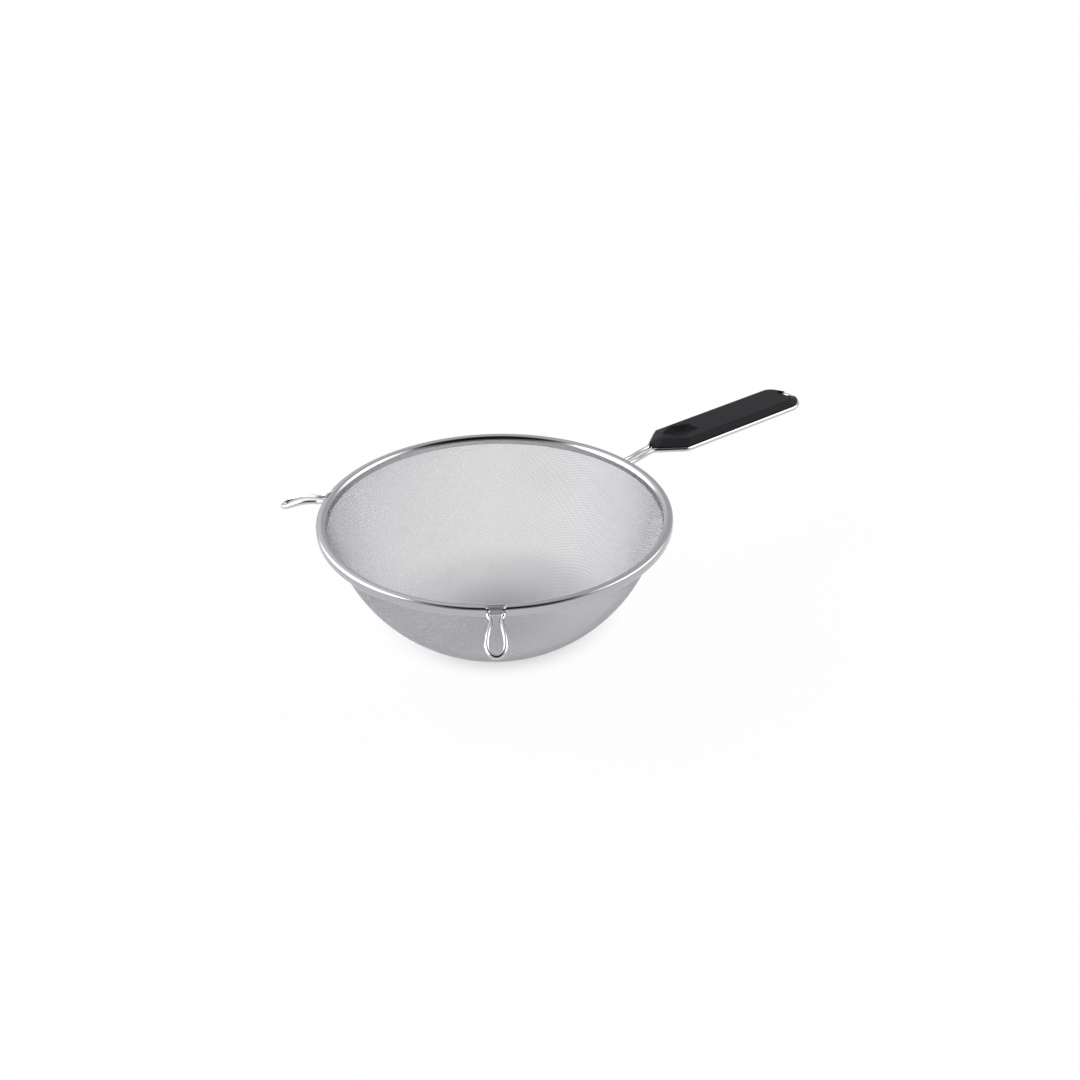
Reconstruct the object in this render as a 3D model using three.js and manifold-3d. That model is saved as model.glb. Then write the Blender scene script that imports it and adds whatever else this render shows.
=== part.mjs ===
// A fine mesh strainer: a pressed wire-cloth bowl clamped in a rolled rim bead, two looped rest ears and a
// forked wire handle crimped into the bead, and a moulded grip in the handle's loop.
// Millimetres, +Z up. The origin is the middle of the small flat under the bowl. The handle points along +X.

import * as THREE from 'three';
import { mergeVertices } from 'three/addons/utils/BufferGeometryUtils.js';
import Module from 'manifold-3d';

// Rim and bowl
const RIM_DIAMETER = 200; // over the outside of the bead
const RIM_HEIGHT = 79; // middle of the bead above the table
const SHEET = 0.5; // thickness of the rolled strip
const HEM_LENGTH = 3.2; // straight run of the strip down the inside of the cloth
const ROLL_SQUARENESS = 3.5; // flatness of the bead's outer side: 2 is a plain circle
const CLOTH = 0.6; // thickness of the woven cloth
const WALL_ANGLE = 68; // slope of the bowl's wall at the rim, degrees from level
const BASE_FLAT = 9; // radius of the small flat under the bowl

// Openwork of the bowl: a plain grid of square openings in place of the cloth's fine gaps
const OPENING_PITCH = 26; // from opening to opening, along the cloth
const OPENING_SIZE = 16; // across an opening
const OPENING_MARGIN = 5; // closed cloth next to the hem and round the small flat

// Fits
const GAP = 0.3; // clearance between pieces that bear on each other
const FOOT_PLAY = 0.5; // spare room round the widest foot inside the bead
const FOOT_SHIFT = 0.4; // handle feet lie this far up the hollow, ear feet this far down it

// Handle wire
const HANDLE_WIRE = 2.8; // wire diameter
const HANDLE_REACH = 147; // rim to the far end of the loop
const HANDLE_FOOT = 26; // length of each foot along the bead
const NECK_LENGTH = 20.5; // rim to the fork
const NECK_SPACING = 4.8; // between the middles of the two legs
const NECK_RISE = 2.5; // climb of the legs out of the bead
const HANDLE_FALL = 1.1; // slope of the handle down towards its end, degrees
const FORK_LENGTH = 17; // along the handle
const FORK_RADIUS = 6; // bends at both ends of the fork
const LOOP_WIDTH = 28.2; // between the middles of the two sides
const BEND_RADIUS = 3.6; // middle of the wire where a leg turns into its foot

// Rest ears
const EAR_WIRE = 2.6; // wire diameter
const EAR_ANGLE = 127.7; // from the handle, degrees
const EAR_REACH = 29; // rim to the tip
const EAR_FOOT = 12; // length of each foot along the bead
const EAR_ROOT_WIDTH = 8; // between the middles of the legs at the bead
const EAR_NECK_WIDTH = 5.8; // between the middles at the waist
const EAR_BELLY_WIDTH = 9.4; // between the middles at the widest place
const EAR_ROOT_AT = 1.2; // rim to where the legs start to draw in
const EAR_NECK_AT = 5; // rim to the waist
const EAR_BELLY_AT = 21; // rim to the widest place
const EAR_ROOT_DROP = 1.2; // level legs below the middle of the bead
const EAR_SLOPE = 0.45; // fall of the outer half for each millimetre outward
const EAR_BEND_AT = 13.5; // rim to the middle of the downward bend
const EAR_BEND_SPAN = 5; // length over which the legs bend down

// Grip
const GRIP_RISE = 4.8; // flat top above the middle of the wire
const GRIP_DROP = 3.2; // flat underside below the middle of the wire
const GRIP_EDGE = 0.6; // upright edge above the wire
const GRIP_TOP_WIDTH = 20.8; // flat top between the long facets
const GRIP_FORK_RUN = 6.3; // slope beside the fork, from the middle of the wire to the flat top
const GRIP_FRONT_RUN = 8; // length of the sloped front facet
const GRIP_END_RUN = 2.5; // extra length of the slope at the far end
const GRIP_UNDER_CHAMFER = 2.2; // slope round the underside
const NOSE_WIDTH = 3.4; // front end between the diverging legs
const HANG_LENGTH = 9; // hang hole, from the notch to the inside of the wire
const NOTCH_RADIUS = 5.8; // hollow end of the grip at the hang hole
const RECESS_LENGTH = 24; // six-sided thumb recess in the top
const RECESS_WIDTH = 18; // across its two side corners
const RECESS_DEPTH = 1.5; // below the flat top
const RECESS_SLOPE = 4.2; // width of its sloping walls
const RECESS_AT = 22.5; // middle of the recess behind the nose

// Fineness of the facets
const RIM_STEPS = 56; // round the bowl and the bead
const BEAD_STEPS = 15; // round the bead's section
const BOWL_STEPS = 7; // down the bowl's round part
const WIRE_SIDES = 8; // round a wire
const BEND_STEPS = 6; // in a wire's bend
const LOOP_STEPS = 9; // in half of the loop's round end

const wasm = await Module();
wasm.setup();

const rimRadius = RIM_DIAMETER / 2;
const wall = THREE.MathUtils.degToRad(WALL_ANGLE);
const wallUp = new THREE.Vector2(Math.cos(wall), Math.sin(wall));
const wallOut = new THREE.Vector2(Math.sin(wall), -Math.cos(wall));

// Across the hollow bead lie, in turn: a gap, the cloth, a gap, the widest foot, a gap and the spare room.
const hollowRadius = (Math.max(HANDLE_WIRE, EAR_WIRE) + CLOTH + 3 * GAP + FOOT_PLAY) / 2;
const beadRadius = hollowRadius + SHEET;
const beadMiddle = new THREE.Vector2(rimRadius - beadRadius, RIM_HEIGHT);
const clothOutside = hollowRadius - GAP - CLOTH; // from the bead's middle to the cloth's outer face

// Places in the bead's section: along the wall's slope and square to it, from the bead's middle.
function inBead(alongWall, outward) {
  return beadMiddle.clone().addScaledVector(wallUp, alongWall).addScaledVector(wallOut, outward);
}

// Middle of a foot that rests against the cloth, shifted up or down the hollow.
function footPlace(wireDiameter, shift) {
  return inBead(shift, wireDiameter / 2 + GAP - clothOutside);
}

function solid(geometry) {
  const bare = geometry.clone();
  bare.deleteAttribute('normal');
  bare.deleteAttribute('uv');
  const merged = mergeVertices(bare);
  const vertProperties = new Float32Array(merged.attributes.position.array);
  const triVerts = new Uint32Array(merged.index.array);
  return new wasm.Manifold(new wasm.Mesh({ numProp: 3, vertProperties, triVerts }));
}

function cut(geometry, cutters) {
  let body = solid(geometry);
  for (const cutter of cutters) {
    body = body.subtract(solid(cutter));
  }
  const mesh = body.getMesh();
  return indexed(mesh.vertProperties, mesh.triVerts);
}

function indexed(positions, triangles) {
  const geometry = new THREE.BufferGeometry();
  geometry.setAttribute('position', new THREE.BufferAttribute(new Float32Array(positions), 3));
  geometry.setIndex(new THREE.BufferAttribute(new Uint32Array(triangles), 1));
  geometry.computeVertexNormals();
  return geometry;
}

// A closed section turned about the bowl's axis.
function turned(section) {
  return new THREE.LatheGeometry(section, RIM_STEPS).rotateX(Math.PI / 2);
}

// An arc that rounds a corner, tangent to the lines before and after it.
function rounded(before, corner, after, radius, steps) {
  const back = before.clone().sub(corner).normalize();
  const ahead = after.clone().sub(corner).normalize();
  const turn = Math.PI - back.angleTo(ahead);
  const start = corner.clone().addScaledVector(back, radius * Math.tan(turn / 2));
  const inward = back.clone().add(ahead).normalize();
  const centre = corner.clone().addScaledVector(inward, radius / Math.cos(turn / 2));
  const spoke = start.clone().sub(centre);
  const axis = new THREE.Vector3().crossVectors(ahead, back).normalize();
  const arc = [];
  for (let i = 0; i <= steps; i++) {
    arc.push(spoke.clone().applyAxisAngle(axis, turn * i / steps).add(centre));
  }
  return arc;
}

// A round wire along a path, with flat ends. The rings are carried along the path without twist.
function wire(path, diameter) {
  const positions = [];
  const triangles = [];
  let side = null;
  path.forEach((point, i) => {
    const from = path[Math.max(i - 1, 0)];
    const to = path[Math.min(i + 1, path.length - 1)];
    const along = to.clone().sub(from).normalize();
    side = side ?? new THREE.Vector3(0, 0, 1);
    side = side.clone().addScaledVector(along, -side.dot(along)).normalize();
    const other = new THREE.Vector3().crossVectors(along, side);
    for (let k = 0; k < WIRE_SIDES; k++) {
      const turn = 2 * Math.PI * (k + 0.5) / WIRE_SIDES;
      const spoke = side.clone().multiplyScalar(Math.cos(turn)).addScaledVector(other, Math.sin(turn));
      positions.push(...point.clone().addScaledVector(spoke, diameter / 2));
    }
  });
  const last = (path.length - 1) * WIRE_SIDES;
  for (let k = 1; k < WIRE_SIDES - 1; k++) {
    triangles.push(0, k + 1, k);
    triangles.push(last, last + k, last + k + 1);
  }
  addBands(triangles, path.length, WIRE_SIDES);
  return indexed(positions, triangles);
}

// Rings of equal count joined one to the next, with flat ends.
function lofted(rings) {
  const count = rings[0].length;
  const positions = rings.flat().flatMap((point) => [point.x, point.y, point.z]);
  const triangles = [];
  const last = (rings.length - 1) * count;
  for (const [a, b, c] of THREE.ShapeUtils.triangulateShape(rings[0], [])) {
    triangles.push(a, c, b);
  }
  for (const [a, b, c] of THREE.ShapeUtils.triangulateShape(rings[rings.length - 1], [])) {
    triangles.push(last + a, last + b, last + c);
  }
  addBands(triangles, rings.length, count);
  return indexed(positions, triangles);
}

function addBands(triangles, ringCount, count) {
  for (let i = 0; i < ringCount - 1; i++) {
    for (let k = 0; k < count; k++) {
      const a = i * count + k;
      const b = i * count + (k + 1) % count;
      triangles.push(a, b, a + count);
      triangles.push(b, b + count, a + count);
    }
  }
}

function mirrored(half) {
  const other = half.slice(0, -1).reverse().map((point) => new THREE.Vector3(point.x, -point.y, point.z));
  return [...half, ...other];
}

// One foot and the bend out of the bead: an arc inside the bead, then a rounded corner towards the next point.
function footAndBend(place, length, halfSpacing, next) {
  const corner = new THREE.Vector3(Math.sqrt(place.x ** 2 - halfSpacing ** 2), halfSpacing, place.y);
  const bearing = Math.atan2(corner.y, corner.x);
  const bend = BEND_RADIUS / place.x;
  const foot = [];
  const steps = Math.ceil(length / BEND_RADIUS / 2);
  for (let i = 0; i <= steps; i++) {
    const angle = bearing + bend + (length - BEND_RADIUS) / place.x * (1 - i / steps);
    foot.push(new THREE.Vector3(place.x * Math.cos(angle), place.x * Math.sin(angle), place.y));
  }
  const before = foot.pop();
  return [...foot, ...rounded(before, corner, next, BEND_RADIUS, BEND_STEPS)];
}

// Bowl: the outer face is a ball-shaped bottom, cut off at the small flat, and a straight wall that runs on
// from it into the bead. The inner face lies one cloth thickness inside it.
const clothEdge = inBead(0, -clothOutside);
const wallPull = clothEdge.dot(wallOut);
const wallSin = Math.sin(wall) ** 2;
const cutTerm = wallSin * (wallPull ** 2 + (BASE_FLAT * Math.cos(wall)) ** 2);
const ballRadius = (wallPull + Math.sqrt(wallPull ** 2 - cutTerm)) / wallSin;
const ballHeight = Math.sqrt(ballRadius ** 2 - BASE_FLAT ** 2);

function bowlFace(inset) {
  const radius = ballRadius - inset;
  const start = Math.acos((ballHeight - inset) / radius);
  const face = [new THREE.Vector2(0, inset)];
  for (let i = 0; i <= BOWL_STEPS; i++) {
    const angle = start + (wall - start) * i / BOWL_STEPS;
    face.push(new THREE.Vector2(radius * Math.sin(angle), ballHeight - radius * Math.cos(angle)));
  }
  face.push(clothEdge.clone().addScaledVector(wallOut, -inset));
  return face;
}

// A place on the cloth by its distances u and v from the middle along the cloth, as on the flat disc before
// pressing, and by its depth below the outer face.
const wallStart = ballRadius * wall;
const clothRun = wallStart + (clothEdge.y - ballHeight + ballRadius * Math.cos(wall)) / wallUp.y;

function clothPlace(u, v, depth) {
  const run = Math.hypot(u, v);
  const lean = Math.min(run / ballRadius, wall);
  const reach = (ballRadius - depth) * Math.sin(lean) + Math.max(run - wallStart, 0) * wallUp.x;
  const height = ballHeight - (ballRadius - depth) * Math.cos(lean) + Math.max(run - wallStart, 0) * wallUp.y;
  return new THREE.Vector3(reach * u / run, reach * v / run, height);
}

// A square cutter through the cloth, three cloth thicknesses deep on either side of it.
function openingCutter(u, v) {
  const half = OPENING_SIZE / 2;
  const corners = [[u - half, v - half], [u + half, v - half], [u + half, v + half], [u - half, v + half]];
  return lofted([-3 * CLOTH, 4 * CLOTH].map((depth) => corners.map(([a, b]) => clothPlace(a, b, depth))));
}

function openingCutters() {
  const cutters = [];
  const half = OPENING_SIZE / 2;
  const outermost = clothRun - HEM_LENGTH - OPENING_MARGIN;
  const count = Math.floor(outermost / OPENING_PITCH);
  for (let i = -count; i <= count; i++) {
    for (let j = -count; j <= count; j++) {
      const u = i * OPENING_PITCH;
      const v = j * OPENING_PITCH;
      const near = Math.hypot(Math.max(Math.abs(u) - half, 0), Math.max(Math.abs(v) - half, 0));
      const far = Math.hypot(Math.abs(u) + half, Math.abs(v) + half);
      if (near > BASE_FLAT + OPENING_MARGIN && far < outermost) {
        cutters.push(openingCutter(u, v));
      }
    }
  }
  return cutters;
}

const bowlShell = turned([...bowlFace(0), ...bowlFace(CLOTH).reverse()]);
const bowlGeometry = cut(bowlShell, openingCutters());

// Bead: a strip that starts as the straight hem inside the cloth, rolls over the top and round the outside, and
// ends as a lip under the bead, one gap short of the cloth's outer face. Its lower outer quarter is squarer.
const hemTurn = wall + Math.PI / 2;
const lipReach = Math.acos((clothOutside - GAP) / beadRadius);
const rollTurn = 2 * Math.PI - lipReach;

function beadFace(radius) {
  const face = [inBead(-HEM_LENGTH, -radius)];
  for (let i = 0; i <= BEAD_STEPS; i++) {
    const angle = hemTurn - rollTurn * i / BEAD_STEPS;
    const spoke = new THREE.Vector2(Math.cos(angle), Math.sin(angle));
    if (spoke.x > 0 && spoke.y < 0) {
      spoke.divideScalar((spoke.x ** ROLL_SQUARENESS + (-spoke.y) ** ROLL_SQUARENESS) ** (1 / ROLL_SQUARENESS));
    }
    face.push(spoke.multiplyScalar(radius).add(beadMiddle));
  }
  return face;
}

const beadSection = [...beadFace(hollowRadius), ...beadFace(beadRadius).reverse()];
const rolledStrip = turned([...beadSection, beadSection[0]]);

// Handle wire: foot, neck, fork and side of one half, closed by half of the round end, then its mirror image.
const handleFoot = footPlace(HANDLE_WIRE, FOOT_SHIFT);
const handleLevel = handleFoot.y;
const loopHalf = LOOP_WIDTH / 2;
const loopTip = rimRadius + HANDLE_REACH - HANDLE_WIRE / 2;
const loopCentre = loopTip - loopHalf;
const fall = THREE.MathUtils.degToRad(HANDLE_FALL);
const forkStart = new THREE.Vector3(rimRadius + NECK_LENGTH, NECK_SPACING / 2, handleLevel);
const forkEnd = new THREE.Vector3(forkStart.x + FORK_LENGTH, loopHalf, handleLevel);
const sideEnd = new THREE.Vector3(loopCentre, loopHalf, handleLevel);

function roundEnd(half, reach) {
  const arc = [];
  for (let i = 0; i <= LOOP_STEPS; i++) {
    const angle = Math.PI / 2 * (1 - i / LOOP_STEPS);
    arc.push(new THREE.Vector3(loopCentre + reach * Math.cos(angle), half * Math.sin(angle), handleLevel));
  }
  return arc;
}

// The legs climb along the neck, and the whole handle falls evenly towards its end.
function handleHeight(x) {
  const out = Math.max(x - rimRadius, 0);
  const climb = Math.min(out / NECK_LENGTH, 1);
  return handleLevel + NECK_RISE * (1 - Math.cos(Math.PI * climb)) / 2 - out * Math.tan(fall);
}

function raised(points, rise) {
  return points.map((point) => new THREE.Vector3(point.x, point.y, handleHeight(point.x) + rise));
}

const handleRoot = footAndBend(handleFoot, HANDLE_FOOT, NECK_SPACING / 2, forkStart);
const forkBend = rounded(handleRoot[handleRoot.length - 1], forkStart, forkEnd, FORK_RADIUS, BEND_STEPS / 2);
const neck = [];
for (let i = 1; i < BEND_STEPS; i++) {
  neck.push(handleRoot[handleRoot.length - 1].clone().lerp(forkBend[0], i / BEND_STEPS));
}
const handlePath = raised(mirrored([
  ...handleRoot,
  ...neck,
  ...forkBend,
  ...rounded(forkStart, forkEnd, sideEnd, FORK_RADIUS, BEND_STEPS / 2),
  ...roundEnd(loopHalf, loopHalf),
]), 0);

// Rest ear, along +X: the legs leave the bead, draw in to a waist, swell to a belly and close in a
// half-ellipse, and they bend down outside the waist.
const earFoot = footPlace(EAR_WIRE, -FOOT_SHIFT);
const earBellyHalf = EAR_BELLY_WIDTH / 2;
const earNeckHalf = EAR_NECK_WIDTH / 2;
const earRootHalf = EAR_ROOT_WIDTH / 2;
const earTip = EAR_REACH - EAR_WIRE / 2;

function earHeight(out) {
  const past = out - EAR_BEND_AT;
  const ramp = (Math.hypot(past, EAR_BEND_SPAN) + past) / 2;
  return RIM_HEIGHT - EAR_ROOT_DROP - EAR_SLOPE * ramp;
}

function earHalfWidth(out) {
  if (out < EAR_NECK_AT) {
    const flare = (EAR_NECK_AT - out) / (EAR_NECK_AT - EAR_ROOT_AT);
    return earNeckHalf + (earRootHalf - earNeckHalf) * flare ** 2;
  }
  const swell = (out - EAR_NECK_AT) / (EAR_BELLY_AT - EAR_NECK_AT);
  return earNeckHalf + (earBellyHalf - earNeckHalf) * (1 - Math.cos(Math.PI * swell)) / 2;
}

function earPoint(out, halfWidth) {
  return new THREE.Vector3(rimRadius + out, halfWidth, earHeight(out));
}

const earLegs = [];
for (let i = 0; i <= BEND_STEPS; i++) {
  const out = EAR_ROOT_AT + (EAR_BELLY_AT - EAR_ROOT_AT) * i / BEND_STEPS;
  earLegs.push(earPoint(out, earHalfWidth(out)));
}
for (let i = 1; i <= BEND_STEPS; i++) {
  const angle = Math.PI / 2 * i / BEND_STEPS;
  const out = EAR_BELLY_AT + (earTip - EAR_BELLY_AT) * Math.sin(angle);
  earLegs.push(earPoint(out, earBellyHalf * Math.cos(angle)));
}
const earRoot = footAndBend(earFoot, EAR_FOOT, earRootHalf, earLegs[0]);
const earPath = mirrored([...earRoot, ...earLegs]);

// Windows in the bead: the same legs and bends, wider by the clearance all round.
const handleWindow = raised([...handleRoot.slice(-BEND_STEPS), ...neck.slice(0, 2)], 0);
const earWindow = [...earRoot.slice(-BEND_STEPS), ...earLegs.slice(0, 2)];

function windows(leg, diameter, angle) {
  const twin = leg.map((point) => new THREE.Vector3(point.x, -point.y, point.z));
  return [leg, twin].map((path) => wire(path, diameter + 2 * GAP).rotateZ(angle));
}

const earTurn = THREE.MathUtils.degToRad(EAR_ANGLE);
const beadGeometry = cut(rolledStrip, [
  ...windows(handleWindow, HANDLE_WIRE, 0),
  ...windows(earWindow, EAR_WIRE, earTurn),
  ...windows(earWindow, EAR_WIRE, -earTurn),
]);

// Grip: outlines parallel to the wire loop, stacked from the underside to the flat top. Below the ledge the
// grip fits inside the loop, and above it laps over the wire.
const insideWire = HANDLE_WIRE / 2 + GAP;
const forkLean = Math.atan2(forkEnd.y - forkStart.y, forkEnd.x - forkStart.x);
const forkInward = new THREE.Vector3(Math.sin(forkLean), -Math.cos(forkLean), 0);
const noseLine = forkStart.clone().addScaledVector(forkInward, insideWire);
const nose = noseLine.x + (NOSE_WIDTH / 2 - noseLine.y) / Math.tan(forkLean);

function gripOutline(rise, inset, forkInset, frontRun, endRun) {
  const line = forkStart.clone().addScaledVector(forkInward, forkInset);
  const half = loopHalf - inset;
  const front = nose + frontRun;
  const frontHalf = line.y + (front - line.x) * Math.tan(forkLean);
  const corner = new THREE.Vector3(line.x + (half - line.y) / Math.tan(forkLean), half, handleLevel);
  const frontCorner = new THREE.Vector3(front, frontHalf, handleLevel);
  const sideward = new THREE.Vector3(loopCentre, half, handleLevel);
  const shoulder = rounded(frontCorner, corner, sideward, FORK_RADIUS - inset, BEND_STEPS / 2);
  const outline = mirrored([frontCorner, ...shoulder, ...roundEnd(half, half - endRun)]);
  return raised(outline.reverse(), rise);
}

const topInset = (LOOP_WIDTH - GRIP_TOP_WIDTH) / 2;
const underInset = insideWire + GRIP_UNDER_CHAMFER;
const gripBlock = lofted([
  gripOutline(-GRIP_DROP, underInset, underInset, GRIP_UNDER_CHAMFER, 0),
  gripOutline(GRIP_UNDER_CHAMFER - GRIP_DROP, insideWire, insideWire, 0, 0),
  gripOutline(insideWire, insideWire, insideWire, 0, 0),
  gripOutline(insideWire, 0, 0, 0, 0),
  gripOutline(insideWire + GRIP_EDGE, 0, 0, 0, 0),
  gripOutline(GRIP_RISE, topInset, GRIP_FORK_RUN, GRIP_FRONT_RUN, GRIP_END_RUN),
]);

// The hollow end that leaves the hang hole open, and the six-sided thumb recess with sloping walls.
const notchTall = 4 * (GRIP_RISE + GRIP_DROP);
const notch = new THREE.CylinderGeometry(NOTCH_RADIUS, NOTCH_RADIUS, notchTall, RIM_STEPS).rotateX(Math.PI / 2);
const notchStart = loopTip - HANDLE_WIRE / 2 - HANG_LENGTH;
notch.translate(notchStart + NOTCH_RADIUS, 0, handleLevel);

const floorShare = 1 - 2 * RECESS_SLOPE / RECESS_WIDTH;
const recessTall = 2 * RECESS_DEPTH;
const recess = new THREE.CylinderGeometry(2 - floorShare, floorShare, recessTall, 6).rotateX(Math.PI / 2);
recess.scale(RECESS_LENGTH / 2 / Math.cos(Math.PI / 6), RECESS_WIDTH / 2, 1);
recess.rotateY(fall).translate(nose + RECESS_AT, 0, handleHeight(nose + RECESS_AT) + GRIP_RISE);
const gripGeometry = cut(gripBlock, [notch, recess]);

const clothMetal = new THREE.MeshStandardMaterial({ color: 0xb9babd, roughness: 0.45, metalness: 0.9 });
const sheetMetal = new THREE.MeshStandardMaterial({ color: 0xd2d3d5, roughness: 0.15, metalness: 1 });
const wireMetal = new THREE.MeshStandardMaterial({ color: 0xc9c9cb, roughness: 0.2, metalness: 1 });
const blackPlastic = new THREE.MeshStandardMaterial({ color: 0x1d1d20, roughness: 0.5, metalness: 0 });

const strainer = new THREE.Group();

function add(name, geometry, material, turn) {
  const mesh = new THREE.Mesh(geometry, material);
  mesh.name = name;
  mesh.rotation.z = turn;
  strainer.add(mesh);
}

// Left and right as seen by whoever holds the handle.
add('mesh_bowl', bowlGeometry, clothMetal, 0);
add('rim_bead', beadGeometry, sheetMetal, 0);
add('ear_left', wire(earPath, EAR_WIRE), wireMetal, -earTurn);
add('ear_right', wire(earPath, EAR_WIRE), wireMetal, earTurn);
add('handle_wire', wire(handlePath, HANDLE_WIRE), wireMetal, 0);
add('grip', gripGeometry, blackPlastic, 0);

export default strainer;
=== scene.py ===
import math

import bmesh
import bpy
import mathutils
import numpy as np
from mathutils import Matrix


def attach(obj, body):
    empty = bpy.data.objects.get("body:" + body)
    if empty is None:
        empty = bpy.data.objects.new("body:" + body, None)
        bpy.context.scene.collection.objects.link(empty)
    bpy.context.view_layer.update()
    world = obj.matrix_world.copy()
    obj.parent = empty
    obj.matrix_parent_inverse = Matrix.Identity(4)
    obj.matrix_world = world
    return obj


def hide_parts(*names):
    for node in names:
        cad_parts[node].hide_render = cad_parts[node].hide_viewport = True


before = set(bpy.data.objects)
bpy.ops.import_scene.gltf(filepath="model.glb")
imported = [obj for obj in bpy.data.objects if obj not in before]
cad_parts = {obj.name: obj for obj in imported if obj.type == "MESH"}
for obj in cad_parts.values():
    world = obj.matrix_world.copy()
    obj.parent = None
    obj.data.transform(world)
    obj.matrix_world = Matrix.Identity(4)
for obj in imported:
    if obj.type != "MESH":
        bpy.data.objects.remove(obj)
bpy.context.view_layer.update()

# Wire cloth: the bowl, one disc of plain-woven stainless wire pressed to a round bottom and a straight
# wall. Every wire is a thin tube that passes over one crossing wire and under the next.
# The cloth's cut edge ends inside the rolled rim, which clamps it all round.
MM = 0.001
WALL = math.radians(68)  # slope of the bowl's wall, from level
BALL_RADIUS = 93.67  # middle of the cloth in the round bottom
BALL_HEIGHT = 93.54  # middle of that ball above the table
WALL_RUN = 22.9  # straight wall from the round bottom to the cloth's edge
CLOTH_DISC = BALL_RADIUS * WALL + WALL_RUN  # radius of the flat disc of cloth
CLOTH_WIRE = 0.27  # wire diameter
CLOTH_PITCH = 1.00  # from wire to wire
CLOTH_COUNT = int(CLOTH_DISC / CLOTH_PITCH)  # wires on each side of the middle one
CLOTH_TURN = math.radians(-62)  # direction of the weave, from the handle
CLOTH_BANDS = 4  # pieces for each direction of wires
CLOTH_TONE = (0.565, 0.565, 0.60)
WELD_WITHIN = 0.002  # points closer than this can be made one


def bowl_place(u, v):
    """Puts flat cloth on the bowl. A point u, v of the flat disc keeps its direction and its distance from
    the middle, measured along a ball and then along a straight wall. The ball is flat where it would come
    lower than a wire's diameter. Gives the places on the bowl and the normals towards the inside."""
    run = np.hypot(u, v)
    lean = np.minimum(run / BALL_RADIUS, WALL)
    straight = np.maximum(run - BALL_RADIUS * WALL, 0.0)
    reach = BALL_RADIUS * np.sin(lean) + straight * math.cos(WALL)
    height = BALL_HEIGHT - BALL_RADIUS * np.cos(lean) + straight * math.sin(WALL)
    height = np.maximum(height, CLOTH_WIRE)
    way = np.arctan2(v, u) + CLOTH_TURN
    place = np.stack([reach * np.cos(way), reach * np.sin(way), height], -1)
    inward = np.stack([-np.sin(lean) * np.cos(way), -np.sin(lean) * np.sin(way), np.cos(lean)], -1)
    return place, inward


def unit(vectors):
    """Vectors divided by their lengths."""
    return vectors / np.linalg.norm(vectors, axis=-1, keepdims=True)


def new_piece(name, points, quads, uv, node, sharp=None, weld=False):
    """A mesh piece from points in millimetres, four-cornered faces and the flat coordinates of each corner.
    With weld, points in the same place become one. With sharp, edges steeper than that angle stay crisp."""
    mesh = bpy.data.meshes.new(name)
    mesh.vertices.add(len(points))
    mesh.vertices.foreach_set("co", (points * MM).astype(np.float32).ravel())
    mesh.loops.add(quads.size)
    mesh.loops.foreach_set("vertex_index", quads.astype(np.int32).ravel())
    mesh.polygons.add(len(quads))
    mesh.polygons.foreach_set("loop_start", np.arange(len(quads), dtype=np.int32) * 4)
    mesh.polygons.foreach_set("use_smooth", np.ones(len(quads), bool))
    layer = mesh.uv_layers.new(name="Along")
    layer.uv.foreach_set("vector", uv.astype(np.float32).ravel())
    mesh.update(calc_edges=True)
    mesh.validate()
    if weld:
        joined = bmesh.new()
        joined.from_mesh(mesh)
        bmesh.ops.remove_doubles(joined, verts=joined.verts, dist=WELD_WITHIN * MM)
        joined.to_mesh(mesh)
        joined.free()
    if sharp is not None:
        mesh.set_sharp_from_angle(angle=math.radians(sharp))
    piece = bpy.data.objects.new(name, mesh)
    bpy.context.scene.collection.objects.link(piece)
    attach(piece, "root")
    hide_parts(node)
    return piece


def cloth_wires(name, turned, j):
    """The wires of one direction with the numbers j. Wire j lies at u = j pitches and is carried along v.
    At crossing k its middle is lifted by half a wire diameter, to the inside where j + k is even and to the
    outside where it is odd. A turned wire has u and v, and inside and outside, the other way round. Its
    section is a square ring about that middle. It ends at the disc's edge with a cap."""
    k = np.arange(-CLOTH_COUNT - 1, CLOTH_COUNT + 2)
    u, v = np.meshgrid(j * CLOTH_PITCH, k * CLOTH_PITCH, indexing="ij")
    end = np.sqrt(CLOTH_DISC**2 - u**2)
    used = np.abs(v) < end + CLOTH_PITCH
    held = np.clip(v, -end, end)
    parity = 1 - 2 * ((j[:, None] + k[None, :]) % 2)
    if turned:
        middle, inward = bowl_place(held, u)
        parity = -parity
    else:
        middle, inward = bowl_place(u, held)
    middle = middle + inward * (parity * CLOTH_WIRE / 2)[..., None]
    along = np.gradient(middle, axis=1)
    along[~used] = (1, 0, 0)
    along = unit(along)
    side = unit(np.cross(along, inward))
    lift = np.cross(side, along)
    turn = np.radians([45, 135, 225, 315])
    spokes = lift[:, :, None] * np.cos(turn)[:, None] + side[:, :, None] * np.sin(turn)[:, None]
    points = middle[:, :, None] + spokes * CLOTH_WIRE / 2
    number = np.arange(used.size).reshape(used.shape)
    joined = used[:, :-1] & used[:, 1:]
    first, second = number[:, :-1][joined], number[:, 1:][joined]
    q = np.arange(4)
    sides = np.stack([first[:, None] * 4 + q, first[:, None] * 4 + (q + 1) % 4,
                      second[:, None] * 4 + (q + 1) % 4, second[:, None] * 4 + q], -1).reshape(-1, 4)
    start = number[np.arange(len(j)), used.argmax(1)]
    stop = number[np.arange(len(j)), used.shape[1] - 1 - used[:, ::-1].argmax(1)]
    caps = np.concatenate([start[:, None] * 4 + q[::-1], stop[:, None] * 4 + q])
    quads = np.concatenate([sides, caps])
    row, column = np.divmod(quads // 4, used.shape[1])
    uv = np.stack([column / used.shape[1], (row + (quads % 4) / 4) / len(j)], -1)
    kept, quads = np.unique(quads, return_inverse=True)
    points = points.reshape(-1, 3)[kept]
    return new_piece(name, points, quads.reshape(-1, 4), uv, "mesh_bowl")


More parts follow.
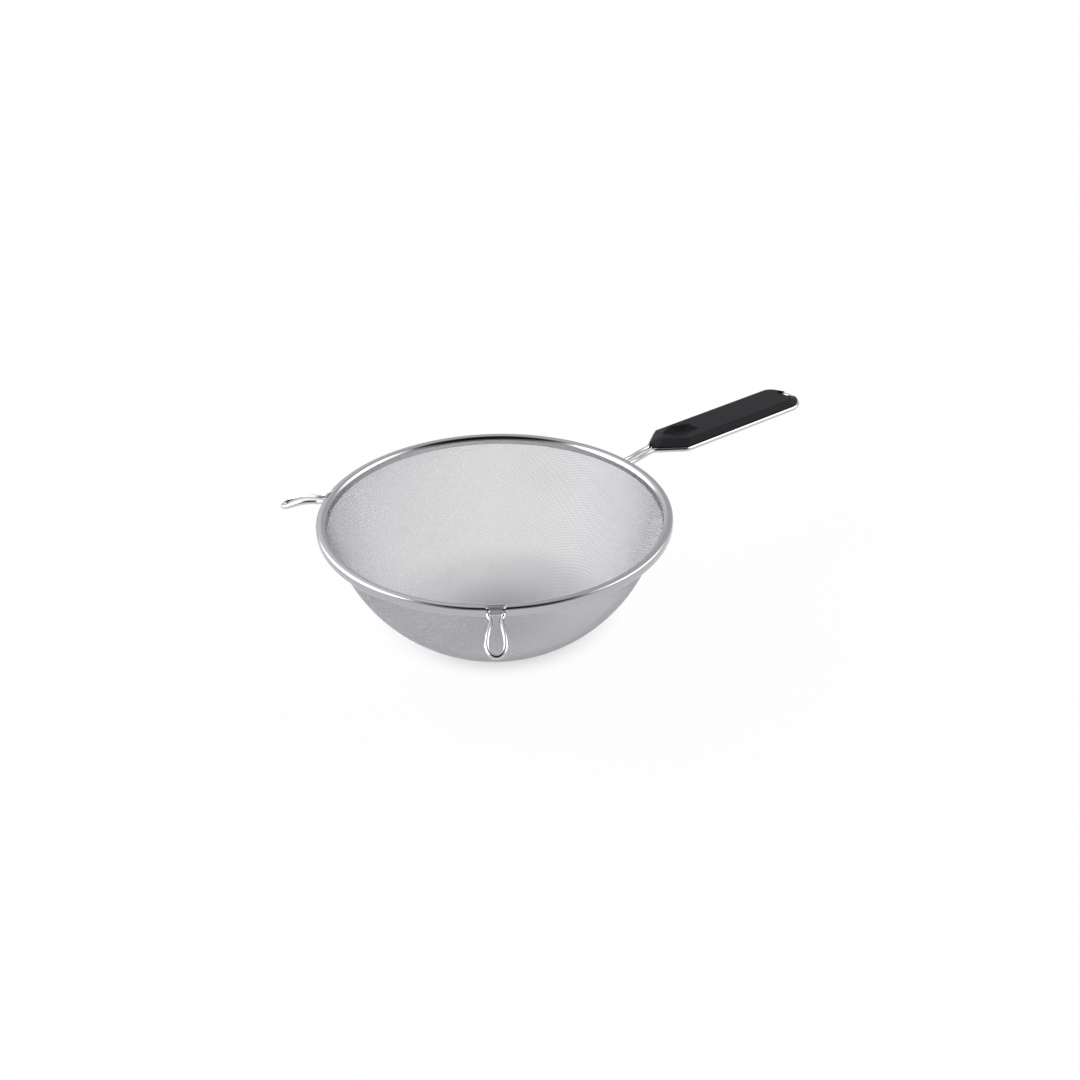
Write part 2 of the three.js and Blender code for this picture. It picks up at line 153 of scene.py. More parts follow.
class Shade:
    """A socket of a material. Sums and products of sockets and numbers add the Math nodes they need."""

    def __init__(self, tree, socket=None):
        self.tree = tree
        self.socket = socket

    def node(self, kind, inputs, output=0, **settings):
        """Adds a node: its settings first, then the values or links of its sockets. Gives one output."""
        made = self.tree.nodes.new("ShaderNode" + kind)
        for key, value in settings.items():
            setattr(made, key, value)
        for key, value in inputs.items():
            self.feed(made.inputs[key], value)
        return Shade(self.tree, made.outputs[output])

    def feed(self, target, value):
        """Links an expression to an input, or sets a plain value on it."""
        if isinstance(value, Shade):
            self.tree.links.new(value.socket, target)
        else:
            target.default_value = value

    def math(self, operation, a, b):
        return self.node("Math", {0: a, 1: b}, operation=operation)

    def __add__(self, other):
        return self.math("ADD", self, other)

    def __radd__(self, other):
        return self.math("ADD", other, self)

    def __sub__(self, other):
        return self.math("SUBTRACT", self, other)

    def __rsub__(self, other):
        return self.math("SUBTRACT", other, self)

    def __mul__(self, other):
        return self.math("MULTIPLY", self, other)

    def __rmul__(self, other):
        return self.math("MULTIPLY", other, self)


def new_finish(name, **sockets):
    """A material with one Principled shader, its even values set on the shader. Gives the material, a start
    for expressions and the shader's inputs."""
    material = bpy.data.materials.new(name)
    material.use_nodes = True
    shader = material.node_tree.nodes["Principled BSDF"]
    for key, value in sockets.items():
        shader.inputs[key.replace("_", " ")].default_value = value
    return material, Shade(material.node_tree), shader.inputs


def shaded(colour, share):
    """A colour times a share, with the full alpha that a socket needs."""
    return (*np.multiply(colour, share), 1.0)


def mixed(factor, low, high):
    """The colour low where the factor is nothing, high where it is one, and an even mix between."""
    return factor.node("Mix", {"Factor": factor, "A": low, "B": high}, output=2, data_type="RGBA")


cloth_steel, s, shader = new_finish("woven_steel_wire", Metallic=0.35)
where = s.node("TexCoord", {}, output="Object")
drift = s.node("TexNoise", {"Vector": where, "Scale": 28.0, "Detail": 3.0}, output="Fac")
s.feed(shader["Base Color"], mixed(drift, shaded(CLOTH_TONE, 0.93), shaded(CLOTH_TONE, 1.07)))
s.feed(shader["Roughness"], drift * 0.12 + 0.42)

wire_numbers = np.arange(-CLOTH_COUNT, CLOTH_COUNT + 1)
wire_share = np.sqrt(CLOTH_DISC**2 - (wire_numbers * CLOTH_PITCH) ** 2).cumsum()
band_ends = np.searchsorted(wire_share / wire_share[-1], np.arange(1, CLOTH_BANDS) / CLOTH_BANDS)
for i, band in enumerate(np.split(wire_numbers, band_ends)):
    cloth_wires(f"cloth_weft_{i + 1}", False, band).data.materials.append(cloth_steel)
    cloth_wires(f"cloth_warp_{i + 1}", True, band).data.materials.append(cloth_steel)

# Rolled rim: one strip of thin stainless sheet. Its inner edge lies along the inside of the cloth as a hem,
# then the strip rolls over the top and down the outside, and its other edge ends as a lip under the roll.
# Closing the roll clamps the cloth's edge and the feet of the wires.
RIM_MIDDLE = (97.1, 79.0)  # middle of the roll's section: from the axis, above the table
ROLL_RADIUS = 2.9  # outside of the roll
SHEET = 0.5  # thickness of the strip
HEM = 2.2  # straight run down the inside of the cloth
HEM_SLOPE = math.radians(80)  # of the hem, from level
ROLL_SQUARENESS = 3.5  # flatness of the outer side: 2 would be a plain circle
ROLL_TURN = math.radians(306)  # from the hem round to the lip
OUTER_STEPS, INNER_STEPS = 90, 60  # points round the outer and inner face of the roll
RIM_ROWS = 300  # steps round the rim
EAR_ANGLE = 127.7  # where the ears' legs enter the roll, degrees from the handle
EAR_ROWS = np.linspace(-8, 8, 57)  # closer steps round the rim beside each ear
HOOD_ANGLES = (-70, -40, -10, 0, 90)  # about the middle of the roll, degrees above level
HOOD_OUT = (1.8, 1.8, 3.6, 3.9, -0.2)  # sheet pressed over an ear's legs, at those angles: outwards
HOOD_UP = (-2.4, 0.2, 1.0, 1.4, 2.9)  # and upwards, both from the middle of the roll
HOOD_HALVES = (5.4, 3.4, 5.4)  # half lengths of the pressed part: at the bottom, the lip and the top
HOOD_FADE = 1.8  # length over which the roll comes back to its own shape
SHEET_TONE = (0.46, 0.46, 0.475)


def grid_quads(rows, columns, ring):
    """Corner numbers of the faces of a grid of rows by columns points; with ring, the columns close on
    themselves. Also gives each corner's row and column as shares of the whole, for flat coordinates."""
    wide = columns if ring else columns - 1
    i, k = np.meshgrid(np.arange(rows - 1), np.arange(wide), indexing="ij")
    i, k = i.ravel(), k.ravel()
    corners = np.stack([np.stack(c, -1) for c in ((i, k), (i, k + 1), (i + 1, k + 1), (i + 1, k))], 1)
    quads = corners[..., 0] * columns + corners[..., 1] % columns
    return quads, corners / (rows - 1, wide)


def roll_face(radius, steps):
    """One face of the strip in section: the straight hem, then an arc from the hem over the top to the lip.
    On the outer side the arc is squarer: its cos and sin, each to a power, add up to one."""
    angle = HEM_SLOPE + math.pi / 2 - np.linspace(0, ROLL_TURN, steps)
    spoke = np.stack([np.cos(angle), np.sin(angle)], -1)
    full = (np.abs(spoke) ** ROLL_SQUARENESS).sum(-1, keepdims=True) ** (1 / ROLL_SQUARENESS)
    arc = np.where(spoke[:, :1] > 0, spoke / full, spoke) * radius
    down = np.linspace(-HEM, 0, 5)[:-1, None] * (math.cos(HEM_SLOPE), math.sin(HEM_SLOPE))
    return np.concatenate([down + arc[0], arc])


def hooded(section, angle):
    """The section pressed down over an ear's legs. By its angle about the middle of the roll, a point moves
    to straight lines between the hood's places; the inner face lies a sheet's thickness further in."""
    x = np.interp(angle, HOOD_ANGLES, HOOD_OUT)
    z = np.interp(angle, HOOD_ANGLES, HOOD_UP)
    inside = np.hypot(*section.T)[:, None] < ROLL_RADIUS - SHEET / 2
    return np.stack([x, z], -1) - inside * SHEET * unit(section)


def streaks(s, along, across):
    """Noise drawn out along a piece: its flat coordinates times a count along it and a count across it."""
    lie = s.node("UVMap", {}, uv_map="Along")
    drawn = s.node("Mapping", {"Vector": lie, "Scale": (along, across, 1.0)})
    return s.node("TexNoise", {"Vector": drawn, "Scale": 1.0, "Detail": 2.0}, output="Fac")


outer_face = roll_face(ROLL_RADIUS, OUTER_STEPS)
inner_face = roll_face(ROLL_RADIUS - SHEET, INNER_STEPS)
section = np.concatenate([outer_face, inner_face[::-1]])
angle = np.degrees(np.arctan2(section[:, 1], section[:, 0]))
ear_ways = np.radians([[EAR_ANGLE], [-EAR_ANGLE]])
even_ways = np.linspace(0, 2 * math.pi, RIM_ROWS, endpoint=False)
way = np.concatenate([even_ways, (ear_ways + EAR_ROWS / RIM_MIDDLE[0]).ravel()])
way = np.unique((way % (2 * math.pi)).round(5))
off_ear = np.abs((way - ear_ways + math.pi) % (2 * math.pi) - math.pi).min(0) * RIM_MIDDLE[0]

# Share of the pressed shape: one over an ear's legs, fading out along the rim, from the top to the lip only.
hood_half = np.interp(angle, [-90, 0, 90], HOOD_HALVES)
press = np.clip((hood_half - off_ear[:, None]) / HOOD_FADE + 0.5, 0, 1)
press = press * press * (3 - 2 * press) * np.interp(angle, [-90, -70, 85, 95], [0, 1, 1, 0])
rings = section + (hooded(section, angle) - section) * press[..., None] + RIM_MIDDLE
reach, height = rings[..., 0], rings[..., 1]
points = np.stack([reach * np.cos(way)[:, None], reach * np.sin(way)[:, None], height], -1).reshape(-1, 3)
quads, uv = grid_quads(len(way) + 1, len(section), True)
rim = new_piece("rolled_rim", points, quads % len(points), uv, "rim_bead", sharp=50)

sheet_steel, s, shader = new_finish("polished_sheet", Metallic=1.0)
streak = streaks(s, 30.0, 900.0)
s.feed(shader["Base Color"], mixed(streak, shaded(SHEET_TONE, 0.96), shaded(SHEET_TONE, 1.04)))
s.feed(shader["Roughness"], streak * 0.06 + 0.13)
rim.data.materials.append(sheet_steel)

# Rest ears: two loops of stainless wire that sit on a pan's edge. Both legs of each go into the rolled rim
# and turn sideways in it. Outside they draw in to a waist, swell to a belly and bend down.
RIM_RADIUS = 100.0  # outside of the rolled rim
EAR_WIRE = 2.6
EAR_TIP = 27.5  # rim to the middle of the wire at the tip
EAR_FOOT = (97.04, 78.59)  # middle of the foot inside the roll: from the axis, above the table
EAR_FOOT_RUN = 12.0
EAR_ROOT = (1.2, 4.0)  # where the legs start to draw in: from the rim, half the width
EAR_WAIST = (5.0, 2.9)
EAR_BELLY = (21.0, 4.7)
EAR_LEVEL = 77.8  # legs near the rim, above the table
EAR_CROWN = 1.2  # the legs leave the roll this much higher
EAR_BEND = (13.5, 5.0, 0.435)  # downward bend: from the rim, length, fall for each millimetre
FOOT_BEND = 3.6  # middle of the wire where a leg turns into its foot
FOOT_START = 4.32  # the foot's arc comes this close to its leg
WIRE_SIDES = 20
WIRE_TONE = (0.58, 0.58, 0.585)


def even_steps(path, step):
    """The same path with points at equal distances along it."""
    along = np.concatenate([[0], np.linalg.norm(np.diff(path, axis=0), axis=1).cumsum()])
    stops = np.linspace(0, along[-1], int(along[-1] / step) + 2)
    return np.stack([np.interp(stops, along, path[:, i]) for i in range(3)], -1)


def rounded_path(corners, radii, step):
    """A path through corner points with every corner replaced by an arc of its radius, tangent to both
    runs."""
    corners = np.asarray(corners, float)
    runs = [corners[:1]]
    for before, corner, after, radius in zip(corners[:-2], corners[1:-1], corners[2:], radii):
        back, ahead = unit(before - corner), unit(after - corner)
        turn = math.pi - math.acos(np.clip(back @ ahead, -1, 1))
        inward = unit(back + ahead)
        middle = corner + inward * radius / math.cos(turn / 2)
        swing = np.linspace(-turn / 2, turn / 2, 13)[:, None]
        runs.append(middle - radius * (inward * np.cos(swing) + unit(back - ahead) * np.sin(swing)))
    return even_steps(np.concatenate(runs + [corners[-1:]]), step)


def round_wire(name, path, diameter, node):
    """A round wire: a circle carried along a path, level with the table, with a flat cap at each end."""
    along = unit(np.gradient(path, axis=0))
    side = unit(np.cross((0.0, 0.0, 1.0), along))
    lift = np.cross(along, side)
    turn = np.linspace(0, 2 * math.pi, WIRE_SIDES, endpoint=False)
    spokes = side[:, None] * np.cos(turn)[:, None] + lift[:, None] * np.sin(turn)[:, None]
    rings = path[:, None] + spokes * diameter / 2
    rings = np.concatenate([np.broadcast_to(path[:1, None], (1, WIRE_SIDES, 3)), rings,
                            np.broadcast_to(path[-1:, None], (1, WIRE_SIDES, 3))])
    quads, uv = grid_quads(len(rings), WIRE_SIDES, True)
    return new_piece(name, rings.reshape(-1, 3), quads, uv, node, sharp=50, weld=True)


def foot_run(place, length, half, steps):
    """The foot of a wire: an arc inside the roll, from its far end to just before the bend into the leg."""
    bearing = math.asin(half / place[0])
    angle = bearing + np.linspace(length, FOOT_START, steps) / place[0]
    return np.stack([place[0] * np.cos(angle), place[0] * np.sin(angle), np.full(steps, place[1])], -1)


def leg_corner(place, half):
    """Where the middle line of a foot, round the bowl's axis, meets the straight line of its leg."""
    return math.sqrt(place[0] ** 2 - half**2), half, place[1]


def both_halves(half):
    """A path and its mirror image across the upright plane through it, joined at the last point."""
    return np.concatenate([half, half[-2::-1] * (1, -1, 1)])


def spun(points, angle):
    """Points turned about the bowl's axis by an angle in degrees."""
    a = math.radians(angle)
    return points @ np.array([[math.cos(a), math.sin(a), 0], [-math.sin(a), math.cos(a), 0], [0, 0, 1]])


def ear_path():
    """Half of an ear and its mirror image: the foot, the bend, the leg's half width as a flare and a swell,
    and half an ellipse to the tip. The height falls from the crown at the root, then along a smooth ramp:
    half the sum of a distance and its hypotenuse."""
    out = np.linspace(EAR_ROOT[0], EAR_BELLY[0], 40)
    flare = np.clip((EAR_WAIST[0] - out) / (EAR_WAIST[0] - EAR_ROOT[0]), 0, None)
    swell = np.clip((out - EAR_WAIST[0]) / (EAR_BELLY[0] - EAR_WAIST[0]), 0, None)
    half = EAR_WAIST[1] + (EAR_ROOT[1] - EAR_WAIST[1]) * flare**2
    half = half + (EAR_BELLY[1] - EAR_WAIST[1]) * (1 - np.cos(math.pi * swell)) / 2
    turn = np.linspace(0, math.pi / 2, 40)[1:]
    out = np.concatenate([out, EAR_BELLY[0] + (EAR_TIP - EAR_BELLY[0]) * np.sin(turn)])
    half = np.concatenate([half, EAR_BELLY[1] * np.cos(turn)])
    past = out - EAR_BEND[0]
    crown = np.clip((EAR_WAIST[0] - out) / (EAR_WAIST[0] - EAR_ROOT[0]), 0, 1)
    fall = EAR_BEND[2] * (np.hypot(past, EAR_BEND[1]) + past) / 2
    leg = np.stack([RIM_RADIUS + out, half, EAR_LEVEL + EAR_CROWN * crown**2 - fall], -1)
    foot = foot_run(EAR_FOOT, EAR_FOOT_RUN, EAR_ROOT[1], 12)
    bend = rounded_path([foot[-1], leg_corner(EAR_FOOT, EAR_ROOT[1]), leg[0]], [FOOT_BEND], 0.4)
    return both_halves(even_steps(np.concatenate([foot[:-1], bend[:-1], leg]), 0.5))


drawn_steel, s, shader = new_finish("drawn_wire", Metallic=1.0)
streak = streaks(s, 60.0, 40.0)
s.feed(shader["Base Color"], mixed(streak, shaded(WIRE_TONE, 0.95), shaded(WIRE_TONE, 1.05)))
s.feed(shader["Roughness"], streak * 0.08 + 0.10)
for node, angle in (("ear_left", -EAR_ANGLE), ("ear_right", EAR_ANGLE)):
    round_wire(node + "_wire", spun(ear_path(), angle), EAR_WIRE, node).data.materials.append(drawn_steel)

# Handle wire: one stainless wire bent to a long loop. Two close legs leave the rolled rim, climb a little,
# fork apart, run along both sides of the grip and close in a round end. Both feet turn sideways in the roll.
HANDLE_WIRE = 2.8
HANDLE_FOOT = (97.43, 79.296)
HANDLE_FOOT_RUN = 26.0
NECK_HALF = 2.4  # half the distance between the legs
NECK_RUN = 20.5  # rim to the fork
NECK_RISE = 2.5  # climb of the legs
HANDLE_FALL = math.tan(math.radians(1.1))  # slope towards the far end
FORK_RUN = 17.0
FORK_BEND = 6.0
LOOP_HALF = 14.1  # half the width of the loop
LOOP_TIP = 245.6  # middle of the wire at the far end
FORK_X = RIM_RADIUS + NECK_RUN
LOOP_MIDDLE = LOOP_TIP - LOOP_HALF  # middle of the round end


def handle_height(x):
    """Middle of the handle wire above the table: the legs climb along half a cosine, and the handle falls
    evenly."""
    out = np.maximum(x - RIM_RADIUS, 0)
    climb = np.minimum(out / NECK_RUN, 1)
    return HANDLE_FOOT[1] + NECK_RISE * (1 - np.cos(math.pi * climb)) / 2 - out * HANDLE_FALL


def handle_path():
    """Half of the handle wire and its mirror image: the foot, straight runs with rounded corners, and a
    quarter circle to the tip."""
    level = HANDLE_FOOT[1]
    foot = foot_run(HANDLE_FOOT, HANDLE_FOOT_RUN, NECK_HALF, 24)
    corners = [foot[-1], leg_corner(HANDLE_FOOT, NECK_HALF), (FORK_X, NECK_HALF, level),
               (FORK_X + FORK_RUN, LOOP_HALF, level), (LOOP_MIDDLE, LOOP_HALF, level)]
    legs = rounded_path(corners, [FOOT_BEND, FORK_BEND, FORK_BEND], 0.6)
    turn = np.linspace(0, math.pi / 2, 40)[1:]
    end = np.stack([LOOP_MIDDLE + LOOP_HALF * np.sin(turn), LOOP_HALF * np.cos(turn), 0 * turn + level], -1)
    half = even_steps(np.concatenate([foot[:-1], legs, end]), 0.7)
    half[:, 2] = handle_height(half[:, 0])
    return both_halves(half)


round_wire("handle_loop", handle_path(), HANDLE_WIRE, "handle_wire").data.materials.append(drawn_steel)

# Grip: black satin plastic moulded into the wire loop, which it laps over from above. A flat top, sloping
# facets all round and a six-sided thumb recess; its hollow end leaves the hang hole open.
GRIP_CLEARANCE = 0.3  # between the grip and the wire
GRIP_LEDGE = HANDLE_WIRE / 2 + GRIP_CLEARANCE  # lap above the middle of the wire, and the inset below it
LEDGE_FALL = 0.05  # the lap's underside slopes down this much, inwards
GRIP_EDGE = 0.6  # upright edge of the lap
GRIP_RISE = 4.8  # flat top above the middle of the wire
GRIP_DROP = 3.2  # flat underside below that middle
GRIP_CHAMFER = 2.2  # slope round the underside
NOSE_HALF = 1.7  # half the width of the front end
SIDE_FACET, FORK_FACET, FRONT_FACET, END_FACET = 3.7, 6.3, 8.0, 6.2  # widths of the sloping facets
NOTCH_START, NOTCH_RADIUS = 235.2, 5.8  # hollow end
RECESS_AT = 22.5  # from the nose to the middle of the recess
RECESS_LENGTH, RECESS_WIDTH, RECESS_DEPTH = 24.0, 18.0, 1.7
RECESS_FLOOR = 0.3  # share of the recess that is its flat floor
RECESS_EDGE = 0.93  # its painted shade fades out from this share of the way to its sides
RECESS_PAINTED_SHADE = 0.25  # painted shade of the recess: its colour as a share of the grip's
FACET_SOFTNESS = 0.2  # rounding between facets
OUTLINE_STOPS = (0, 8, 44, 174)  # an outline's points at the middle, nose, shoulder and round end
ARC_POINTS = 39  # points of the round end, and of the hollow end
OUTER_POINTS = OUTLINE_STOPS[-1] + 1 + ARC_POINTS
CROWN_STEPS, UNDER_STEPS = 49, 3  # points across half of the top and of the underside
MIDDLE_STEP = 0.6  # first stretch of a face's middle line, beside the nose's half width
GRIP_TONE = (0.0175, 0.0175, 0.0215)

fork = np.array([FORK_X, NECK_HALF])
fork_lean = math.atan2(LOOP_HALF - NECK_HALF, FORK_RUN)
fork_inward = np.array([math.sin(fork_lean), -math.cos(fork_lean)])
notch_middle = np.array([NOTCH_START + NOTCH_RADIUS, 0])
ledge_line = fork + fork_inward * GRIP_LEDGE
grip_nose = ledge_line[0] + (NOSE_HALF - ledge_line[1]) / math.tan(fork_lean)


def between_stops(places):
    """Even steps from each of four places along an outline to the next."""
    return np.interp(np.arange(OUTLINE_STOPS[-1] + 1), OUTLINE_STOPS, places)


def arc_points(middle, radius, start, stop):
    """Even steps along an arc from just after its start to its stop: cos and sin times the radius."""
    swing = np.linspace(start, stop, ARC_POINTS + 1)[1:]
    return np.stack([np.cos(swing), np.sin(swing)], -1) * radius + middle


def grip_outline(inset, front):
    """Half of an outline parallel to the wire: straight runs for the front end, the fork and the side, an
    arc for the round end as far as the hollow end, and an arc for the hollow end back to the middle."""
    half = LOOP_HALF - inset
    line = fork + fork_inward * inset
    front_half = line[1] + (front - line[0]) * math.tan(fork_lean)
    shoulder = line[0] + (half - line[1]) / math.tan(fork_lean)
    straight = np.stack([between_stops([front, front, shoulder, LOOP_MIDDLE]),
                         between_stops([0, front_half, half, half])], -1)
    apart = notch_middle[0] - LOOP_MIDDLE
    reach = (apart**2 + half**2 - NOTCH_RADIUS**2) / (2 * apart)
    round_end = arc_points((LOOP_MIDDLE, 0), half, math.pi / 2, math.acos(reach / half))
    tip = round_end[-1] - notch_middle
    hollow = arc_points(notch_middle, NOTCH_RADIUS, math.atan2(tip[1], tip[0]), math.pi)
    return np.concatenate([straight, round_end, hollow])


def least(a, b):
    """The smaller of two heights, rounded where they meet: half of their sum less their rounded
    difference."""
    return (a + b - np.sqrt((a - b) ** 2 + FACET_SOFTNESS**2)) / 2


def in_recess(x, y):
    """Share of the way from the middle of the recess to its six sides, more than one outside it."""
    along = np.abs(x - grip_nose - RECESS_AT) / (RECESS_LENGTH / 2)
    return np.maximum(along, np.abs(y) / (RECESS_WIDTH / 2) + along / 2)


def grip_top(x, y):
    """Height of the top above the middle of the wire: the lowest of the flat top and the facets, which
    climb evenly from the lap's edge over their widths, less the recess. The recess sinks from its six sides
    to its floor by the share of the way to its middle."""
    climb = GRIP_RISE - GRIP_LEDGE - GRIP_EDGE
    past = np.maximum(x - LOOP_MIDDLE, 0)
    width = SIDE_FACET + (END_FACET - SIDE_FACET) * np.cos(np.arctan2(y, past)) ** 2
    side = climb * (LOOP_HALF - np.hypot(past, y)) / width
    beside = climb * ((x - fork[0]) * fork_inward[0] + (y - fork[1]) * fork_inward[1]) / FORK_FACET
    front = climb * (x - grip_nose) / FRONT_FACET
    height = np.maximum(least(least(least(side, beside), front), climb), 0)
    slope = RECESS_DEPTH * (1 - in_recess(x, y)) / (1 - RECESS_FLOOR)
    return GRIP_LEDGE + GRIP_EDGE + height - np.maximum(least(slope, RECESS_DEPTH), 0)


def grip_face(outline, steps):
    """Flat places between half an outline and the grip's inner edge, which is the middle line and then the
    hollow end's arc. Even steps lead from each point of the outline to its point of that edge."""
    outer = outline[:OUTER_POINTS]
    nose, shoulder = outer[0, 0], outer[OUTLINE_STOPS[2], 0]
    middle_line = between_stops([nose, nose + MIDDLE_STEP, shoulder, NOTCH_START])
    hollow = outline[OUTER_POINTS - 1:][::-1]
    inner = np.concatenate([np.stack([middle_line, 0 * middle_line], -1), hollow[1:]])
    return outer[:, None] + (inner - outer)[:, None] * np.linspace(0, 1, steps)[:, None]


def raised(flat, rise):
    """Flat places put on the sloping handle, at a rise above the middle of the wire."""
    return np.concatenate([flat, (handle_height(flat[..., 0]) + rise)[..., None]], -1)


lap = grip_outline(0, grip_nose)
inset = grip_outline(GRIP_LEDGE, grip_nose)
under = grip_outline(GRIP_LEDGE + GRIP_CHAMFER, grip_nose + GRIP_CHAMFER)
wall = np.stack([raised(lap, grip_top(*lap.T)), raised(lap, GRIP_LEDGE),
                 raised(inset, GRIP_LEDGE - LEDGE_FALL), raised(inset, GRIP_CHAMFER - GRIP_DROP),
                 raised(under, -GRIP_DROP)])
crown = grip_face(lap, CROWN_STEPS)
top = raised(crown, grip_top(crown[..., 0], crown[..., 1]))
bottom = raised(grip_face(under, UNDER_STEPS), -GRIP_DROP)[:, ::-1]
points, quads, uv = np.zeros((0, 3)), np.zeros((0, 4), int), np.zeros((0, 4, 2))
for face in (wall, top, bottom):
    corners, flat = grid_quads(*face.shape[:2], False)
    for side in (1, -1):
        quads = np.concatenate([quads, corners[:, ::side] + len(points)])
        points = np.concatenate([points, face.reshape(-1, 3) * (1, side, 1)])
        uv = np.concatenate([uv, flat[:, ::side]])
grip = new_piece("moulded_grip", points, quads, uv, "grip", sharp=35, weld=True)

# The attribute plain is one all over the grip apart from the recess in its top, where it marks the painted
# shade.
places = np.zeros(len(grip.data.vertices) * 3, np.float32)
grip.data.vertices.foreach_get("co", places)
x, y, z = places.reshape(-1, 3).T / MM
plain = np.clip((in_recess(x, y) - RECESS_EDGE) / (1 - RECESS_EDGE), 0, 1)
plain[z < handle_height(x)] = 1
grip.data.attributes.new("plain", "FLOAT", "POINT").data.foreach_set("value", plain.astype(np.float32))

plastic, s, shader = new_finish("black_satin_plastic", Specular_IOR_Level=0.05)
where = s.node("TexCoord", {}, output="Object")
grain = s.node("TexNoise", {"Vector": where, "Scale": 2600.0, "Detail": 2.0}, output="Fac")
outside = s.node("Attribute", {}, output="Fac", attribute_name="plain")
speckled = mixed(grain, shaded(GRIP_TONE, 0.85), shaded(GRIP_TONE, 1.15))
# Painted shade: the recess is given a darker colour without speckles, which stands in for the shade in the
# hollow.
s.feed(shader["Base Color"], mixed(outside, shaded(GRIP_TONE, RECESS_PAINTED_SHADE), speckled))
s.feed(shader["Roughness"], grain * 0.12 + 0.36)
s.feed(shader["Normal"], s.node("Bump", {"Height": grain, "Strength": 0.12, "Distance": 0.0002}))
grip.data.materials.append(plastic)

# Studio: a wide pale floor that the camera sees as white, a pale room with soft boxes on both sides and at the
# back, and a dark screen above and behind the camera that polished metal shows as a dark line.
FLOOR_HALF = 4.0
FLOOR_TONE = (0.78, 0.78, 0.78)
FLOOR_GLOW = 0.96  # share of plain white in what is seen of the floor, away from the full shadow
SHADE_MIDDLE = (0.0, 0.03)  # full shadow under the bowl: to the right and away from the camera, metres
SHADE_REACH = (0.045, 0.078)  # the shadow is full up to the first distance, lightened beyond the second
ROOM_LIGHT, ROOM_LOW = 0.68, 0.04  # the room, and what it gains towards the floor
LOW_START, LOW_FULL = 0.55, 0.1  # upward part of a direction where that gain starts and where it is full
SCREEN, SCREEN_DARK = (174, 66, 30, 44), 0.98  # place and angles as lobe takes them, share of light taken
SKIRT, SKIRT_DARK = (174, 20, 26, 52), 0.65  # the screen's paler lower part
LEFT_BOX, LEFT_LIGHT = (-78, 28, 24, 38), 3.7
BACK_BOX, BACK_LIGHT = (-28, 36, 6, 28), 0.45
RIGHT_BOX, RIGHT_LIGHT = (74, 36, 12, 30), 2.3
VIEW_FROM = math.radians(37.11)  # the camera stands this far round from square to the handle
VIEW_ABOVE = math.radians(29.38)
VIEW_DISTANCE = 0.8  # metres
VIEW_ROLL = math.radians(1.70)
PICTURE = 1080  # pixels, wide and high
FOCAL = 1420.3  # in those pixels
RIM_IN_PICTURE = (495.0, 515.7)  # where the middle of the rim lands
SENSOR = 36.0


def in_room(right, away, up):
    """A place given as the camera sees the room, in metres: to the right, away from the camera, above the
    floor. It is turned about the upright axis by the camera's angle to the handle."""
    c, s = math.cos(VIEW_FROM), -math.sin(VIEW_FROM)
    return np.array([right * c - away * s, right * s + away * c, up])


floor_mesh = bpy.data.meshes.new("floor")
floor_corners = [(x * FLOOR_HALF, y * FLOOR_HALF, 0) for x, y in ((-1, -1), (1, -1), (1, 1), (-1, 1))]
floor_mesh.from_pydata(floor_corners, [], [(0, 1, 2, 3)])
floor = bpy.data.objects.new("floor", floor_mesh)
bpy.context.scene.collection.objects.link(floor)
white, s, _ = new_finish("white_floor", Base_Color=shaded(FLOOR_TONE, 1), Roughness=0.9)
rays = [s.node("LightPath", {}, output=f"Is {kind} Ray") for kind in ("Camera", "Glossy", "Transmission")]
seen = s.math("MINIMUM", rays[0] + rays[1] + rays[2], 1.0)
spot = s.node("TexCoord", {}, output="Object")
shade_middle = in_room(*SHADE_MIDDLE, 0)
off_shade = s.node("VectorMath", {0: spot, 1: shade_middle}, output="Value", operation="DISTANCE")
clear = s.node("MapRange", {"Value": off_shade, "From Min": SHADE_REACH[0], "From Max": SHADE_REACH[1]},
               interpolation_type="SMOOTHSTEP")
diffuse = Shade(s.tree, s.tree.nodes["Principled BSDF"].outputs[0])
glow = s.node("Emission", {"Color": (1.0, 1.0, 1.0, 1.0), "Strength": 1.0})
surface = s.node("MixShader", {0: seen * clear * FLOOR_GLOW, 1: diffuse, 2: glow})
s.feed(s.tree.nodes["Material Output"].inputs["Surface"], surface)
floor_mesh.materials.append(white)

world = bpy.data.worlds.new("studio")
bpy.context.scene.world = world
world.use_nodes = True
s = Shade(world.node_tree)
look = s.node("TexCoord", {}, output="Generated")


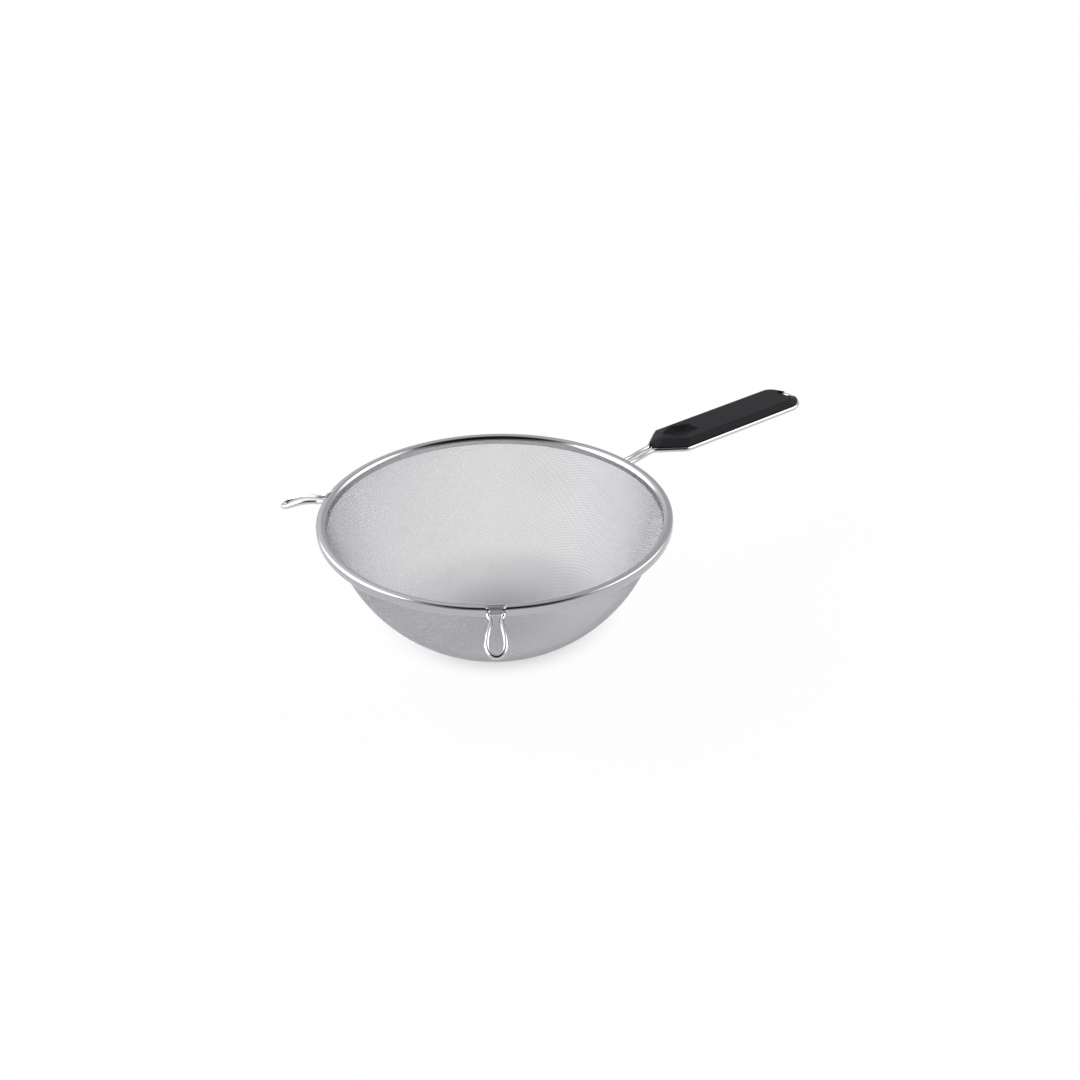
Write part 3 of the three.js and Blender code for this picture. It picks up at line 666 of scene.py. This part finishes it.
def lobe(around, above, inner, outer):
    """One in the directions within the inner angle of a middle direction, nothing beyond the outer angle.
    The middle direction lies around degrees to the right of straight away from the camera, and above
    degrees above the floor. Angles are compared by the cos that two directions' product gives."""
    around, above, inner, outer = np.radians([around, above, inner, outer])
    level = math.cos(above)
    toward = in_room(level * math.sin(around), level * math.cos(around), math.sin(above))
    near = s.node("VectorMath", {0: look, 1: toward}, output="Value", operation="DOT_PRODUCT")
    return s.node("MapRange", {"Value": near, "From Min": math.cos(outer), "From Max": math.cos(inner)},
                  interpolation_type="SMOOTHSTEP")


high = s.node("SeparateXYZ", {0: look}, output="Z")
low = s.node("MapRange", {"Value": high, "From Min": LOW_START, "From Max": LOW_FULL},
             interpolation_type="SMOOTHSTEP")
room = low * ROOM_LOW + ROOM_LIGHT
room = room * (1 - lobe(*SCREEN) * SCREEN_DARK) * (1 - lobe(*SKIRT) * SKIRT_DARK)
boxes = lobe(*LEFT_BOX) * LEFT_LIGHT + lobe(*BACK_BOX) * BACK_LIGHT + lobe(*RIGHT_BOX) * RIGHT_LIGHT
seen = s.node("LightPath", {}, output="Is Camera Ray")
light = s.math("MAXIMUM", (room + boxes) * (1 - seen), seen)
s.feed(world.node_tree.nodes["Background"].inputs["Color"], light)


def swung(first, second, angle):
    """Two square directions turned in their plane by an angle, the first towards the second."""
    return (math.cos(angle) * first + math.sin(angle) * second,
            math.cos(angle) * second - math.sin(angle) * first)


# The camera first looks straight at the middle of the rim, then rolls, and then tips and swings until that
# middle lands at its place in the picture.
camera = bpy.data.cameras.new("camera")
camera.sensor_width = SENSOR
camera.lens = SENSOR * FOCAL / PICTURE
eye = bpy.data.objects.new("camera", camera)
bpy.context.scene.collection.objects.link(eye)
bpy.context.scene.camera = eye
back = in_room(0, -math.cos(VIEW_ABOVE), math.sin(VIEW_ABOVE))
place = back * VIEW_DISTANCE + (0, 0, RIM_MIDDLE[1] * MM)
across = unit(np.cross((0.0, 0.0, 1.0), back))
across, upward = swung(across, np.cross(back, across), -VIEW_ROLL)
off = np.subtract(RIM_IN_PICTURE, PICTURE / 2)
upward, ahead = swung(upward, -back, -math.atan2(off[1], math.hypot(FOCAL, off[0])))
across, ahead = swung(across, ahead, math.atan2(off[0], FOCAL))
matrix = np.eye(4)
matrix[:3] = np.stack([across, upward, -ahead, place], 1)
eye.matrix_world = mathutils.Matrix(matrix)

bpy.context.scene.view_settings.view_transform = "Standard"
